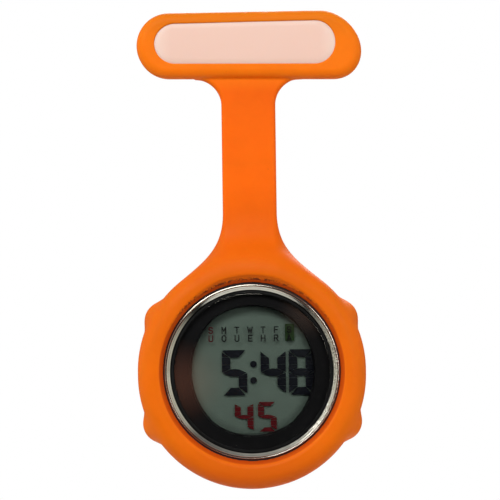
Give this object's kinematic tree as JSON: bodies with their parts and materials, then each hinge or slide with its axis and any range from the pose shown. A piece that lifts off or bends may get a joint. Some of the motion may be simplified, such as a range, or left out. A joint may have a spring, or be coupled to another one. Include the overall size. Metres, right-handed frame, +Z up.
{
  "type": "fob watch",
  "caption": "Digital watch in a soft round pocket that hangs by a flexible strap from a name bar with a brooch pin, worn on the chest and read by lifting it.",
  "frame": {"origin": "middle of the brooch pin's wire, behind the name bar", "axes": "+Z up along the strap, +X along the pin towards its point, -Y out of the dial"},
  "size_m": [0.0414, 0.0124, 0.0871],
  "materials": {
    "silicone": "satin, faintly translucent",
    "milky_plastic": "gloss, milky",
    "steel": "brushed",
    "bright_steel": "polished",
    "gold_contact": "bright",
    "black_plastic": "matt",
    "black_gloss": "gloss",
    "black_rubber": "matt",
    "clear_glass": "clear",
    "lcd_glass": "clear",
    "polarizer": "grey film",
    "reflector": "satin grey-green",
    "dark_segment": "matt",
    "red_segment": "matt",
    "green_segment": "matt",
    "print": "ink",
    "white_plastic": "moulded",
    "clear_plastic": "clear",
    "pcb_green": "solder mask",
    "pink_rubber": "matt",
    "ceramic_brown": "matt",
    "led_yellow": "clear epoxy"
  },
  "bodies": {
    "name_bar": {"t_bar_sleeve": "silicone", "label_plate": "milky_plastic", "brooch_bar": "steel", "pin_rivet": "steel"},
    "strap_link": {"strap": "silicone"},
    "watch_head": {"watch_pocket": "silicone", "caseback": "steel", "battery": "steel", "battery_clip": "steel", "module_screws": "steel", "quartz_crystal": "steel", "pusher_spring_1": "steel", "pusher_spring_2": "steel", "pusher_spring_3": "steel", "pusher_spring_4": "steel", "bezel": "bright_steel", "button_contacts": "gold_contact", "battery_contact": "gold_contact", "buzzer_disc": "gold_contact", "buzzer_spring": "gold_contact", "case_body": "black_plastic", "chip_blob": "black_plastic", "dial_ring": "black_gloss", "crystal_gasket": "black_rubber", "caseback_gasket": "black_rubber", "pusher_seals": "black_rubber", "crystal": "clear_glass", "lcd_glass_front": "lcd_glass", "lcd_glass_rear": "lcd_glass", "lcd_polarizer_front": "polarizer", "lcd_reflector": "reflector", "time_segments": "dark_segment", "seconds_segments": "red_segment", "weekday_marker": "green_segment", "weekday_print": "print", "module_frame": "white_plastic", "battery_frame": "white_plastic", "light_guide": "clear_plastic", "circuit_board": "pcb_green", "zebra_connectors": "pink_rubber", "capacitors": "ceramic_brown", "backlight_led": "led_yellow"},
    "button_1": {"pusher_1": "steel", "pusher_clip_1": "steel", "button_dome_1": "silicone"},
    "button_2": {"pusher_2": "steel", "pusher_clip_2": "steel", "button_dome_2": "silicone"},
    "button_3": {"pusher_3": "steel", "pusher_clip_3": "steel", "button_dome_3": "silicone"},
    "button_4": {"pusher_4": "steel", "pusher_clip_4": "steel", "button_dome_4": "silicone"},
    "pin": {"brooch_pin": "steel"},
    "catch": {"catch_lock": "gold_contact"}
  },
  "joints": [
    {"name": "strap_flex_upper", "type": "hinge", "parent": "name_bar", "child": "strap_link", "pos_m": [0, -0.0045, -0.0162], "axis": [-1, 0, 0], "range_deg": [-30, 60], "stiffness_Nm_per_rad": 0.0035, "deforming": ["strap"]},
    {"name": "strap_flex_lower", "type": "hinge", "parent": "strap_link", "child": "watch_head", "pos_m": [0, -0.0045, -0.0268], "axis": [-1, 0, 0], "range_deg": [-30, 60], "stiffness_Nm_per_rad": 0.0035, "deforming": ["strap"]},
    {"name": "button_1_press", "type": "slide", "parent": "watch_head", "child": "button_1", "axis": [-0.866, 0, -0.5], "range_m": [0, 0.0006], "stiffness_N_per_m": 1500, "deforming": ["pusher_spring_1"]},
    {"name": "button_2_press", "type": "slide", "parent": "watch_head", "child": "button_2", "axis": [0.866, 0, -0.5], "range_m": [0, 0.0006], "stiffness_N_per_m": 1500, "deforming": ["pusher_spring_2"]},
    {"name": "button_3_press", "type": "slide", "parent": "watch_head", "child": "button_3", "axis": [0.866, 0, 0.5], "range_m": [0, 0.0006], "stiffness_N_per_m": 1500, "deforming": ["pusher_spring_3"]},
    {"name": "button_4_press", "type": "slide", "parent": "watch_head", "child": "button_4", "axis": [-0.866, 0, 0.5], "range_m": [0, 0.0006], "stiffness_N_per_m": 1500, "deforming": ["pusher_spring_4"]},
    {"name": "pin_hinge", "type": "hinge", "parent": "name_bar", "child": "pin", "pos_m": [-0.0135, 0, 0], "axis": [0, 0, 1], "range_deg": [0, 95]},
    {"name": "catch_turn", "type": "hinge", "parent": "name_bar", "child": "catch", "pos_m": [0.0132, 0, 0], "axis": [1, 0, 0], "range_deg": [0, 95]}
  ]
}
